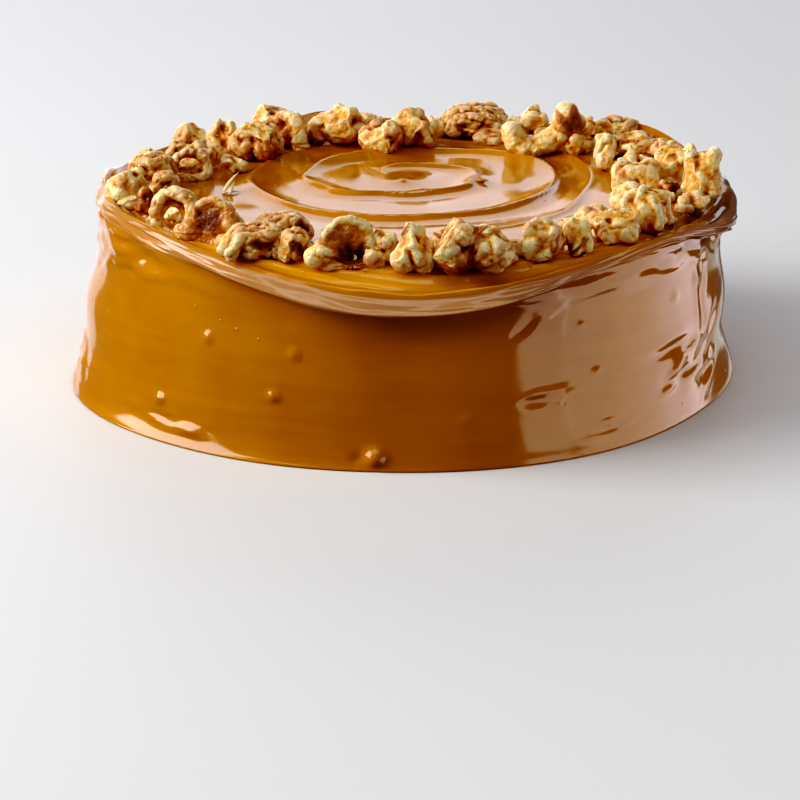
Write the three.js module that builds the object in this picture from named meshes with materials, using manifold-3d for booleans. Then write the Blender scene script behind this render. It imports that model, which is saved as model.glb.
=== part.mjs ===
// Walnut torte: a round sponge torte, coated all over in caramel cream, with
// a ring of broken walnuts on top.  Millimetres, +Z up.  The origin is the
// middle of the flat base; the -Y side is where the cream folds over the wall.

import * as THREE from 'three';
import { mergeVertices } from 'three/addons/utils/BufferGeometryUtils.js';
import Module from 'manifold-3d';

const wasm = await Module();
wasm.setup();

// ---- Driving dimensions ----------------------------------------------------

const TOP_HEIGHT = 66;          // level of the cream on top, over the base
const WALL_RADIUS = 112;        // coated wall, near the top
const OVAL = 0.8;               // the wall is that much wider towards +X and -X
const FOOT_FLARE = 9;           // how far the cream spreads out at the base
const FLARE_HEIGHT = 18;        // height over which that spread dies away
const BELLY = 2.9;              // bulge of the wall at half its height
const BELLY_HEIGHT = 31;
const BELLY_SPREAD = 10.5;
const FOOT_WAVE = 0.9;          // unevenness of the cream's bottom edge
const BASE_SHIFT = 0.95;        // the torte leans a little towards +X:
const LEAN = 0.055;             // shift of its axis for each mm of height

const RIM_HEIGHT = 69.8;        // crest of the cream's raised outer rim
const RIM_TILT = 1.5;           // it is that much higher at -X than in the middle
// Humps of that rim: direction, half width in degrees, height.
const RIM_HUMPS = [[178, 7, 3], [109, 8, 3.8], [36, 17, 7], [-147, 12, 1.5]];
const FOLD_DROP = 11.2;         // how far the rim sags at the front fold
const FOLD_ANGLE = -91;         // middle of that fold, degrees
const FOLD_SPREAD = 25;         // its half width, degrees
const FOLD_OUT = 3.2;           // overhang of the fold over the wall
const CURL_ANGLE = -5;          // the big curl of cream on the +X side
const CURL_SPREAD = 24;
const CURL_OUT = 3.6;
const SHOULDER_START = 99;      // radius where the top starts to bend to the rim

const SWIRL_X = 2;              // where the spatula's swirl starts on top
const SWIRL_Y = 14;
const SWIRL_RIDGE = 1.5;        // height of the swirl's thin ridge
const SWIRL_TROUGH = 0.8;       // depth of the trough between two ridges
const RIDGE_WIDTH = 2.6;
const SWIRL_STEP = 45;          // degrees between two of the radii below
const SWIRL_START = 120;        // the swirl runs clockwise from this angle
const SWIRL_RADII = [21, 26, 29, 25, 19, 21, 30, 38, 43, 51, 58, 55, 55, 57, 54, 58, 63, 66, 70];

const SIDES = 48;               // facets round the torte
const GAP = 0.3;                // clearance between pieces that touch

const RING_X = 7;               // middle of the ring of walnuts
const RING_Y = -2.5;
const FOLD_PITCH = 6.5;         // spacing of a kernel's folds
const FOLD_DEPTH = 0.9;

// ---- Small helpers ---------------------------------------------------------

const radians = (degrees) => degrees * Math.PI / 180;

const clamp01 = (value) => Math.min(1, Math.max(0, value));

const ease = (value) => clamp01(value) ** 2 * (3 - 2 * clamp01(value));

const mix = (from, to, share) => from + (to - from) * share;

// Signed difference of two directions, between -180 and 180 degrees.
function turnBetween(angle, other) {
  return ((angle - other + 540) % 360 + 360) % 360 - 180;
}

// A smooth hump of height 1 round a middle direction.
function hump(angle, middle, spread, sharpness = 2) {
  return Math.exp(-((Math.abs(turnBetween(angle, middle)) / spread) ** sharpness));
}

// A unit sphere of facets whose corners are shared.
function facetedSphere(detail) {
  const sphere = new THREE.IcosahedronGeometry(1, detail);
  sphere.deleteAttribute('normal');
  sphere.deleteAttribute('uv');
  return mergeVertices(sphere, 1e-3);
}

// Closed mesh with shared corners -> manifold solid, and back to a geometry.
function toSolid(geometry) {
  return new wasm.Manifold(new wasm.Mesh({
    numProp: 3,
    vertProperties: Float32Array.from(geometry.attributes.position.array),
    triVerts: Uint32Array.from(geometry.index.array),
  }));
}

function toGeometry(solid) {
  const mesh = solid.getMesh();
  const geometry = new THREE.BufferGeometry();
  geometry.setAttribute('position', new THREE.BufferAttribute(mesh.vertProperties, 3));
  geometry.setIndex(new THREE.BufferAttribute(mesh.triVerts, 1));
  geometry.computeVertexNormals();
  return geometry;
}

// ---- The coated torte ------------------------------------------------------

// Radius of the coated wall, about the leaning axis.
function wallRadius(angle, z) {
  const oval = OVAL * Math.cos(radians(2 * angle));
  const flare = FOOT_FLARE * Math.exp(-((z / FLARE_HEIGHT) ** 1.5));
  const belly = BELLY * Math.exp(-(((z - BELLY_HEIGHT) / BELLY_SPREAD) ** 2));
  const wave = Math.cos(radians(4 * (angle + 152))) + 0.6 * Math.cos(radians(7 * angle + 40));
  return WALL_RADIUS + oval + flare + belly + FOOT_WAVE * wave * Math.exp(-z / 30);
}

const axisShift = (z) => BASE_SHIFT + LEAN * z;

// Crest of the rim: humped at the back and the left, sagging at the front fold.
function rimHeight(angle) {
  let height = RIM_HEIGHT - RIM_TILT * Math.cos(radians(angle));
  for (const [middle, spread, rise] of RIM_HUMPS) {
    height += rise * hump(angle, middle, spread);
  }
  return height - FOLD_DROP * hump(angle, FOLD_ANGLE, FOLD_SPREAD, 4);
}

// Lower edge of the folded or curled cream under that crest.
function foldBottom(angle) {
  const front = 11.3 * hump(angle, FOLD_ANGLE, 32, 2.5);
  const curl = 7 * hump(angle, CURL_ANGLE, 22);
  return 63 - front - curl;
}

// How far the cream hangs out over the wall.
function overhang(angle) {
  const front = FOLD_OUT * hump(angle, FOLD_ANGLE, 38, 3);
  const curl = CURL_OUT * hump(angle, CURL_ANGLE, CURL_SPREAD);
  return 0.3 + front + curl;
}

// Distance of the swirl's ridge from its start, after so many degrees of turn.
function swirlRadius(turned) {
  const place = Math.min(turned / SWIRL_STEP, SWIRL_RADII.length - 1.001);
  const index = Math.floor(place);
  return mix(SWIRL_RADII[index], SWIRL_RADII[index + 1], ease(place - index));
}

// Relief of the spatula's swirl: thin ridges with shallow troughs between.
function swirlRelief(x, y) {
  const radius = Math.hypot(x - SWIRL_X, y - SWIRL_Y);
  const angle = THREE.MathUtils.radToDeg(Math.atan2(y - SWIRL_Y, x - SWIRL_X));
  const firstTurn = ((SWIRL_START - angle) % 360 + 360) % 360;
  const whole = SWIRL_STEP * (SWIRL_RADII.length - 1);
  let nearest = 1000;
  for (let turned = firstTurn; turned < whole; turned += 360) {
    nearest = Math.min(nearest, Math.abs(radius - swirlRadius(turned)));
  }
  const ridge = SWIRL_RIDGE * Math.exp(-nearest / RIDGE_WIDTH);
  const trough = SWIRL_TROUGH * ease(nearest / 9) * (1 - ease((radius - 62) / 16));
  const peak = 1.6 * Math.exp(-radius / 5);
  return ridge * (1 - 0.5 * ease((radius - 60) / 12)) - trough + peak;
}

const crestRadius = (angle) => wallRadius(angle, TOP_HEIGHT) - 0.8 + 0.6 * overhang(angle);

// Height of the cream's upper surface at a distance from the leaning axis.
function topHeight(angle, radius) {
  const x = radius * Math.cos(radians(angle)) + axisShift(TOP_HEIGHT);
  const y = radius * Math.sin(radians(angle));
  const rimRadius = crestRadius(angle);
  const outward = clamp01((radius - SHOULDER_START) / (rimRadius - SHOULDER_START));
  const shoulder = (rimHeight(angle) - TOP_HEIGHT) * outward ** 1.4;
  return TOP_HEIGHT + shoulder + swirlRelief(x, y) * (1 - ease((radius - 78) / 12));
}

// One point of the skin, from an angle, a distance from the axis and a height.
function skinPoint(angle, radius, z) {
  const x = radius * Math.cos(radians(angle)) + axisShift(z);
  return [x, radius * Math.sin(radians(angle)), z];
}

// The rings of the skin in order from the base's edge to the middle of the top.
function skinRings() {
  const rings = [];
  for (const share of [0, 0.05, 0.15, 0.3, 0.5, 0.75, 0.95]) {
    rings.push((angle) => {
      const z = share * foldBottom(angle);
      return skinPoint(angle, wallRadius(angle, z), z);
    });
  }
  // The fold: its share of the overhang, and its share of the way up to the crest.
  for (const [out, up] of [[0.55, 0], [1, 0.16], [1.08, 0.5], [0.95, 0.85]]) {
    rings.push((angle) => {
      const z = mix(foldBottom(angle), rimHeight(angle), up);
      return skinPoint(angle, wallRadius(angle, z) + out * overhang(angle), z);
    });
  }
  for (const share of [1, 0.72, 0.42, 0.15]) {
    rings.push((angle) => {
      const radius = mix(SHOULDER_START, crestRadius(angle), share);
      return skinPoint(angle, radius, topHeight(angle, radius));
    });
  }
  for (const radius of [96, 88, 82, 77, 72.5, 68, 63.5, 59, 54.5, 50, 45.5, 41, 36.5, 32, 27, 22, 17, 12, 6]) {
    rings.push((angle) => skinPoint(angle, radius, topHeight(angle, radius)));
  }
  return rings;
}

// The closed body: a fan under the base, the rings, and a fan on top.
function tortGeometry() {
  const rings = skinRings();
  const positions = [axisShift(0), 0, 0];
  for (const ring of rings) {
    for (let side = 0; side < SIDES; side += 1) {
      positions.push(...ring(360 * side / SIDES - 180));
    }
  }
  positions.push(axisShift(TOP_HEIGHT), 0, topHeight(0, 0));
  const last = positions.length / 3 - 1;
  const faces = [];
  for (let side = 0; side < SIDES; side += 1) {
    const next = (side + 1) % SIDES;
    faces.push(0, 1 + next, 1 + side);
    for (let row = 0; row < rings.length - 1; row += 1) {
      const low = 1 + row * SIDES;
      const high = low + SIDES;
      faces.push(low + side, low + next, high + next);
      faces.push(low + side, high + next, high + side);
    }
    const top = 1 + (rings.length - 1) * SIDES;
    faces.push(top + side, top + next, last);
  }
  const geometry = new THREE.BufferGeometry();
  geometry.setAttribute('position', new THREE.Float32BufferAttribute(positions, 3));
  geometry.setIndex(faces);
  geometry.computeVertexNormals();
  return geometry;
}

// Height of the cream under a place on the plan.
function creamUnder(x, y) {
  const fromAxis = x - axisShift(TOP_HEIGHT);
  const angle = THREE.MathUtils.radToDeg(Math.atan2(y, fromAxis));
  return topHeight(angle, Math.hypot(fromAxis, y));
}

// ---- The walnut pieces -----------------------------------------------------

// Every kind of piece: its depth for a length of 1, how far its ends bend down
// (or up) over its length, how deep its hollow is, how much its folds show and
// how steeply its length rises.
const KINDS = {
  chunk: { depth: 0.8, bend: 0, hollow: 0, folds: 1, rise: 0 },
  lobe: { depth: 0.8, bend: 0.15, hollow: 0, folds: 0.6, rise: 0 },
  half: { depth: 0.55, bend: 0.1, hollow: 0.45, folds: 0.7, rise: 0 },
  arch: { depth: 0.55, bend: 0.7, hollow: 0, folds: 0.6, rise: 0 },
  hook: { depth: 0.5, bend: -0.5, hollow: 0, folds: 0.6, rise: 0.2 },
  blade: { depth: 0.5, bend: 0.3, hollow: 0.2, folds: 0.4, rise: 0 },
};

// The ring as it was laid, clockwise from the left over the back and round the
// front.  Each piece: kind, direction and distance from the ring's middle,
// length, height, direction of its length, lift over the cream.
const PIECES = [
  ['lobe', 176, 97, 16, 9.5, 10, 5],
  ['half', 167, 86, 15.5, 12, 25, 0.5],
  ['lobe', 163, 104, 9, 7, 0, 2],
  ['chunk', 158, 89, 12.5, 12, 20, 0],
  ['lobe', 153, 77, 10, 8, 15, 0],
  ['lobe', 152, 103, 8, 7.5, 0, 2],
  ['lobe', 150, 91, 6.5, 7, 0, 1],
  ['chunk', 144, 107, 13.5, 11, 0, 1],
  ['chunk', 138, 82.5, 19, 14.5, -20, 0],
  ['lobe', 140, 97.5, 12, 13, 0, 1.5],
  ['blade', 125, 88, 17.5, 15, -30, 0],
  ['lobe', 122, 104, 15.5, 9.5, 5, 4],
  ['lobe', 116, 92, 8, 8.5, 0, 1.5],
  ['chunk', 111, 83.5, 19.5, 15.5, 0, 0],
  ['lobe', 101, 102, 13.5, 8, -10, 1],
  ['chunk', 102, 66, 15.5, 12, 0, 0],
  ['chunk', 92, 71, 17, 16.5, 0, 0],
  ['lobe', 85, 88, 8.5, 9.5, 0, 1],
  ['chunk', 76, 93, 25, 12.5, 0, 0],
  ['lobe', 69, 82, 12, 6, 0, 0],
  ['lobe', 67, 98, 7.5, 7, 0, 2.5],
  ['lobe', 61.5, 98, 9.5, 8, 0, 5],
  ['hook', 50, 77.5, 30, 16.5, 0, 0],
  ['lobe', 49, 104, 8.5, 7, 0, 2],
  ['chunk', 42, 104, 16, 7.5, -15, 2],
  ['lobe', 43, 84, 10.5, 9.5, 40, 0],
  ['lobe', 36.5, 89.5, 10, 10.5, 80, 0],
  ['lobe', 33, 99, 18, 7, -25, 2.5],
  ['lobe', 24, 77, 8, 11, 85, 0],
  ['lobe', 19.5, 84, 9.5, 9.5, 75, 0.5],
  ['lobe', 21, 100, 11.5, 7.5, -30, 3],
  ['lobe', 11, 102, 8, 9, -60, 3],
  ['lobe', 2, 92, 14, 13.5, 0, 2],
  ['chunk', -4, 78.5, 15.5, 12.5, 0, 1],
  ['chunk', -9.5, 102, 12.5, 19.5, 0, 0],
  ['lobe', -9, 91, 8.5, 7.5, 0, 1],
  ['lobe', -17, 101, 10, 7.5, 0, 0],
  ['lobe', -22, 80.5, 13, 10, -10, 0],
  ['lobe', -29.5, 88, 11, 9, 20, 0],
  ['chunk', -37, 97, 16, 16, 10, 0],
  ['chunk', -45, 84, 13.5, 9.5, 20, 0],
  ['chunk', -48, 97, 15, 11.5, 30, 0],
  ['lobe', -59, 99, 11.5, 12, 20, 0],
  ['lobe', -66.5, 100, 11.5, 13, -10, 0],
  ['lobe', -70.8, 95, 8.5, 6.5, 0, 0],
  ['chunk', -80.5, 101, 24, 17, 0, 0],
  ['lobe', -83, 84, 9.5, 7, 0, 2],
  ['lobe', -91.5, 100.5, 12.5, 16, 0, 0],
  ['chunk', -97.5, 98, 10.5, 12.5, 0, 0],
  ['half', -104, 101, 22.5, 17.5, 5, 0],
  ['lobe', -114, 101, 10.5, 12.5, 10, 0],
  ['chunk', -122, 86, 17, 9.5, 5, 1],
  ['chunk', -122, 103, 18.5, 10, 10, 0],
  ['half', -134, 100, 22, 17.5, -25, 0],
  ['arch', -149, 98, 16, 15, -10, 0],
  ['lobe', -159, 101, 8, 11, 0, 0],
  ['chunk', -169, 105, 14, 14, -20, 0],
  ['lobe', -176, 91, 10, 9.5, 10, 2],
];

const LARGE_PIECE = 16.5;       // pieces longer than this get finer facets

// Folds of the kernel: waves of one spacing from several directions.
function foldWave(point, seed) {
  let sum = 0;
  for (let wave = 0; wave < 5; wave += 1) {
    const around = 2.4 * wave + 1.7 * seed;
    const up = Math.sin(1.9 * wave + seed);
    const direction = new THREE.Vector3(Math.cos(around), Math.sin(around), up).normalize();
    sum += Math.cos(2 * Math.PI * direction.dot(point) / FOLD_PITCH + 1.3 * wave * seed);
  }
  return sum / 2.5;
}

// A piece about its own middle, its length along X and its hollow towards -Y.
function pieceGeometry(kind, length, height, seed) {
  const shape = KINDS[kind];
  const geometry = facetedSphere(length > LARGE_PIECE ? 2 : 1);
  const half = new THREE.Vector3(length, length * shape.depth, height).multiplyScalar(0.5);
  const places = geometry.attributes.position;
  const point = new THREE.Vector3();
  for (let index = 0; index < places.count; index += 1) {
    point.fromBufferAttribute(places, index);
    const facing = Math.max(0, -point.y);
    const dish = shape.hollow * 1.6 * half.y * facing ** 3;
    const out = point.clone();
    point.multiply(half);
    point.addScaledVector(out, shape.folds * FOLD_DEPTH * foldWave(point, seed));
    point.y += dish;
    point.z -= shape.bend * (point.x / half.x) ** 2 * 0.35 * length;
    point.z += shape.rise * point.x;
    places.setXYZ(index, point.x, point.y, point.z);
  }
  geometry.computeBoundingBox();
  geometry.translate(0, 0, -geometry.boundingBox.min.z);
  return geometry;
}

// Sets a piece down on the cream: turned, placed, and its underside pressed flat.
function laidPiece([kind, direction, distance, length, height, heading, lift], seed) {
  const geometry = pieceGeometry(kind, length, height, seed);
  const x = RING_X + distance * Math.cos(radians(direction));
  const y = RING_Y + distance * Math.sin(radians(direction));
  geometry.rotateZ(radians(heading));
  geometry.translate(x, y, creamUnder(x, y) + lift - 0.6);
  const places = geometry.attributes.position;
  for (let index = 0; index < places.count; index += 1) {
    const floor = creamUnder(places.getX(index), places.getY(index)) + 2 * GAP;
    places.setZ(index, Math.max(places.getZ(index), floor));
  }
  return geometry;
}

// A copy of a piece grown by the gap about its own middle.
function grown(geometry) {
  const copy = geometry.clone();
  copy.computeBoundingBox();
  const middle = copy.boundingBox.getCenter(new THREE.Vector3());
  const size = copy.boundingBox.getSize(new THREE.Vector3());
  copy.translate(-middle.x, -middle.y, -middle.z);
  copy.scale(1 + 2 * GAP / size.x, 1 + 2 * GAP / size.y, 1 + 2 * GAP / size.z);
  copy.translate(middle.x, middle.y, middle.z);
  copy.computeBoundingBox();
  return copy;
}

// What is left of a piece clear of the cream and of the pieces already laid.
function trimmedPiece(piece, raisedBody, laid) {
  let solid = toSolid(piece).subtract(raisedBody);
  piece.computeBoundingBox();
  for (const neighbour of laid) {
    const larger = grown(neighbour);
    if (larger.boundingBox.intersectsBox(piece.boundingBox)) {
      solid = solid.subtract(toSolid(larger));
    }
  }
  const bodies = solid.decompose();
  bodies.sort((one, other) => other.volume() - one.volume());
  return toGeometry(bodies[0]);
}

// ---- Colours and assembly --------------------------------------------------

const CREAM = { color: 0xa8642a, roughness: 0.22, metalness: 0 };
const KERNEL_COLOURS = [0xd9bd84, 0xb98a56, 0xcfae74, 0x8f5f3a];

function namedMesh(name, geometry, look) {
  const mesh = new THREE.Mesh(geometry, new THREE.MeshStandardMaterial(look));
  mesh.name = name;
  return mesh;
}

function buildTorte() {
  const torte = new THREE.Group();
  const body = tortGeometry();
  torte.add(namedMesh('coated_torte', body, CREAM));
  const raisedBody = toSolid(body).translate([0, 0, GAP]);
  const laid = [];
  PIECES.forEach((row, index) => {
    const piece = trimmedPiece(laidPiece(row, index + 1), raisedBody, laid);
    laid.push(piece);
    const color = KERNEL_COLOURS[index % KERNEL_COLOURS.length];
    const name = `walnut_${String(index + 1).padStart(2, '0')}`;
    torte.add(namedMesh(name, piece, { color, roughness: 0.6, metalness: 0 }));
  });
  return torte;
}

export default buildTorte();
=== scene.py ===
import math
import random

import bmesh
import bpy
import numpy as np
from mathutils import Matrix, Quaternion, Vector, noise
from mathutils.bvhtree import BVHTree


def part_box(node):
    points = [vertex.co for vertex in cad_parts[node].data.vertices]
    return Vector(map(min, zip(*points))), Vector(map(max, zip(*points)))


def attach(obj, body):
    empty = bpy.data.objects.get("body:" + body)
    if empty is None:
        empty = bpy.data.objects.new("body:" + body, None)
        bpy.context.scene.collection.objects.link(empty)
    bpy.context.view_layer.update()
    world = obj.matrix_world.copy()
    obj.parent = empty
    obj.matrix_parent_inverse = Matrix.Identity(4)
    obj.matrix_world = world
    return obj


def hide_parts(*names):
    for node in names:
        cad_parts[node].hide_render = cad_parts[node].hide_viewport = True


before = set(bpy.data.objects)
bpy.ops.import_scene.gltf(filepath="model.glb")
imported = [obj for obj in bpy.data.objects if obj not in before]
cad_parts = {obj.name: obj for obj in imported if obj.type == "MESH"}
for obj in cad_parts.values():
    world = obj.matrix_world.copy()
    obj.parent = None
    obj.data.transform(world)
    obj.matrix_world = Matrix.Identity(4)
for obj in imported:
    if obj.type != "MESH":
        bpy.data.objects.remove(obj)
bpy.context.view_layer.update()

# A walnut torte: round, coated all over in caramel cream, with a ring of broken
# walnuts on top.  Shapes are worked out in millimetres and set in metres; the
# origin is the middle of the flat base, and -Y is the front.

MM = 0.001

# ---- The caramel cream coat --------------------------------------------------
# One thick coat of cooked caramel cream over the whole torte, spread with a long
# spatula.  It runs out a little at the foot, hangs in a soft fold over the front
# of the wall and in a curl on the right, and is drawn into a spiral on top.

COAT_SIDES = 456
WALL_RINGS = 54
LIP_RINGS = 26
SHOULDER_RINGS = 35
FIRST_LIP_ROW = 6 + WALL_RINGS  # the first ring of the fold; six make base and edge
TOP_LEVEL = 66.0                # level of the cream on top
WALL_RADIUS = 112.0
BASE_EDGE = 0.9                 # radius of the rounded edge of the base
SHOULDER_START = 99.0           # the top is level inside this radius
SHOULDER_END = 96.0             # the rings of the top start here
SWIRL_MIDDLE = (2.0, 14.0)
SWIRL_START = 120.0             # the spatula's spiral runs clockwise from here
SWIRL_STEP = 45.0               # degrees between two of its radii
SWIRL_RADII = [21, 26, 29, 25, 19, 21, 30, 38, 43, 51, 58, 55, 55, 57, 54, 58, 63, 66, 73,
               68, 78, 87]
RIM_HUMPS = [[178, 7, 3.5], [109, 8, 4.3], [36, 17, 7.5], [-147, 12, 0.8]]

# Cross-sections of the fold at the front, of its upright end front right, of the
# curl on the right and of the plain edge: how far each point hangs out, and its
# share of the way up to the crest.
FOLD_OUT = [0, 0.4, 0.82, 0.98, 0.96, 0.82, 0.64, 0.44, 0.23, 0.0]
FOLD_UP = [0, -0.06, -0.05, 0.02, 0.12, 0.26, 0.43, 0.61, 0.8, 1.0]
UPRIGHT_OUT = [0, 0.1, 0.2, 0.28, 0.31, 0.33, 0.34, 0.33, 0.28, 0.05]
CURL_OUT = [0, 0.5, 0.9, 1.05, 1.12, 1.15, 1.12, 1.0, 0.7, 0.25]
CURL_UP = [0, -0.07, -0.05, 0.04, 0.17, 0.34, 0.53, 0.72, 0.89, 1.0]
EDGE_OUT = [0, 0, -0.02, -0.08, -0.2, -0.4, -0.7, -1.2, -1.9, -2.9]
EDGE_UP = [0, 0.12, 0.24, 0.37, 0.5, 0.62, 0.74, 0.85, 0.94, 1.0]

# Strokes and dents that the spatula left in the wall: direction and height of
# the middle, half length, half width, depth, and tilt of the stroke in degrees.
STROKES = [
    [-34, 60, 5, 1.5, 0.4, 30], [-26, 42, 13, 2.0, 0.8, 86], [-38, 27, 12, 2.0, 1.0, 4],
    [-34, 18, 11, 2.2, 0.9, 9], [-22, 28, 8, 2.4, 0.9, 40], [-50, 49, 16, 1.8, 0.25, 8],
    [-147, 56, 4, 1.6, 0.12, 60], [-141, 6, 9, 1.8, 0.4, -5], [20, 45, 20, 2.5, 0.4, 10],
    [60, 30, 26, 2.5, 0.35, -6],
    [95, 50, 22, 2.5, 0.4, 5], [130, 22, 24, 2.5, 0.35, -8], [155, 44, 16, 2.5, 0.4, 12],
    [75, 14, 15, 3.0, 0.4, 0], [10, 20, 14, 2.6, 0.4, 30], [170, 25, 14, 2.5, 0.4, -20],
]
# Places where the spatula stuck and left the wall rough: direction and height of
# the middle, half length, half height, roughness, and tilt in degrees.
SMEARS = [
    [-131, 7, 14, 4.0, 1.0, -4], [-168, 12, 16, 9.0, 0.9, -8], [-66, 22, 9, 4.0, 0.7, 8],
    [-34, 18, 14, 7.0, 0.8, 14], [-26, 48, 5, 9.0, 1.0, 80], [-24, 14, 12, 8.0, 0.8, 20],
    [-162, 52, 12, 8.0, 0.5, 20], [-52, 8, 14, 3.0, 0.35, 6], [-68, 47, 9, 3.0, 0.5, 25],
    [-150, 24, 14, 2.5, 0.3, -3], [40, 26, 20, 8.0, 0.4, 10], [110, 36, 24, 9.0, 0.4, -6],
    [150, 12, 16, 6.0, 0.4, 4],
]
# Lumps in the cream: direction, height, radius, how far it stands out.
LUMPS = [
    [-94.5, 4.8, 2.8, 2.4], [-97.5, 4.0, 1.8, -0.7], [-112.4, 22.3, 1.7, 1.2],
    [-135.5, 13.8, 1.7, 1.1], [-109.2, 37.1, 1.8, 0.8], [-126, 38.4, 1.9, 0.9],
    [-80, 17, 1.6, 0.4], [-60, 43, 1.4, 0.5], [-57, 27, 1.4, 0.5], [-36, 44, 1.8, 0.5],
    [30, 28, 2.2, 0.8], [84, 41, 2.0, 0.7], [122, 9, 3.0, 1.2], [148, 33, 2.0, 0.7],
]
# Ridges drawn along the front shoulder: direction and radius of the start and of
# the end, and height.
RIDGES = [
    [-128, 106, -88, 110, 0.9], [-122, 102.5, -82, 107.5, 1.0], [-104, 101.5, -70, 108.6, 0.9],
    [-112, 99.5, -86, 103.8, 0.7], [-92, 101, -60, 105, 0.9], [-84, 104.5, -52, 109.5, 1.0],
    [-66, 103, -34, 108, 0.8], [-140, 104, -112, 108, 0.6], [-58, 100, -30, 104, 0.6],
    [-152, 101, -122, 104.6, 1.0], [-178, 104, -140, 109, 1.1], [-168, 101, -128, 107.5, 0.9],
    [-40, 107, 6, 113.5, 2.0], [-28, 102.5, 12, 108, 1.6],
    [-18, 111, 18, 116.5, 1.2], [172, 104, 205, 107.5, 0.9], [186, 101, 222, 105, 0.8],
]


def turn_between(angle, other):
    """Signed difference of two directions, between -180 and 180 degrees."""
    return (angle - other + 540) % 360 - 180


def hump(angle, middle, spread, sharpness=2):
    return np.exp(-(np.abs(turn_between(angle, middle)) / spread) ** sharpness)


def ease(value):
    value = np.clip(value, 0, 1)
    return value * value * (3 - 2 * value)


def unevenness(points, size, seed):
    """Smooth random relief, about -1 to 1, one value for each point; size is its
    grain, one length or a length for each axis."""
    places = points / np.asarray(size, float) + 31.7 * seed
    values = (2 * noise.noise(place) for place in places.reshape(-1, 3).tolist())
    return np.fromiter(values, float, places.size // 3).reshape(points.shape[:-1])


def wall_radius(angle, z):
    """The wall bulges on the left and the right, stands steep at the front left and
    leans back everywhere else."""
    z = np.maximum(z, 0)
    oval = 0.8 * np.cos(np.radians(2 * angle))
    bulging = 9.0 * np.exp(-(z / 18) ** 1.5) + 2.9 * np.exp(-((z - 31) / 10.5) ** 2)
    below = np.clip(51 - z, 0, 51)
    leaning = 0.6 * np.exp(-z / 4) + 0.15 * below - 0.1
    leaning = leaning + 0.03 * below * hump(angle, -90, 26)
    steep = 2.2 * np.exp(-z / 2.5) + 0.105 * below + 0.6
    front_left = hump(angle, -134, 46, 6)
    plain = leaning + front_left * (steep - leaning)
    side = hump(angle, 180, 30, 3) + hump(angle, 0, 26, 3)
    wave = np.cos(np.radians(4 * (angle + 152))) + 0.6 * np.cos(np.radians(7 * angle + 40))
    wave = 0.8 * wave * np.exp(-z / 30)
    return WALL_RADIUS + oval + plain + side * (bulging - plain) + wave


def axis_shift(z):
    """The torte leans a little towards +X."""
    return 0.95 + 0.055 * z


def rim_height(angle):
    """The crest of the raised rim: it sags at the front fold and at the front
    right, and is humped elsewhere."""
    height = 69.3 - 1.0 * np.cos(np.radians(angle)) - 4.0 * hump(angle, -17, 14, 2.5)
    for middle, spread, rise in RIM_HUMPS:
        height = height + rise * hump(angle, middle, spread)
    return height - 11.4 * hump(angle, -89, 33)


def fold_bottom(angle):
    """Where the fold and the curl leave the wall."""
    return 64 - 12.1 * hump(angle, -90, 31, 2.2) - 8 * hump(angle, -6, 21)


def swirl_radius(turned):
    """The spiral's radius after so many degrees of its run."""
    place = np.clip(turned / SWIRL_STEP, 0, len(SWIRL_RADII) - 1.001)
    index = np.floor(place).astype(int)
    radii = np.array(SWIRL_RADII, float)
    return radii[index] + (radii[index + 1] - radii[index]) * ease(place - index)


def swirl_relief(x, y):
    """Height of the spatula's spiral: thin ridges, steep outside, and shallow
    troughs between them."""
    radius = np.hypot(x - SWIRL_MIDDLE[0], y - SWIRL_MIDDLE[1])
    angle = np.degrees(np.arctan2(y - SWIRL_MIDDLE[1], x - SWIRL_MIDDLE[0]))
    first_turn = (SWIRL_START - angle) % 360
    whole = SWIRL_STEP * (len(SWIRL_RADII) - 1)
    rolled = hump(angle, 113, 32, 4) * np.exp(-((radius - 42) / 8) ** 4)
    ridge = np.zeros_like(radius)
    nearest = np.full_like(radius, 1000.0)
    for turn in range(int(whole // 360) + 1):
        turned = first_turn + 360 * turn
        gap = radius - swirl_radius(turned)
        strength = ease(turned / 25) * ease((whole - turned) / 60)
        inside = np.exp(np.minimum(gap, 0) / (2.4 + 3.5 * rolled))
        height = np.where(gap < 0, inside, np.exp(-(np.abs(gap) / 1.3) ** 1.4))
        ridge = np.maximum(ridge, strength * height)
        nearest = np.minimum(nearest, np.where(strength > 0.02, np.abs(gap), 1000.0))
    trough = 0.65 * ease(nearest / 9) * (1 - ease((radius - 62) / 16))
    peak = 1.4 * np.exp(-radius / 4)
    high = 1.4 * (1 - 0.3 * ease((radius - 60) / 12)) + 1.2 * rolled
    return high * ridge - trough + peak


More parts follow.
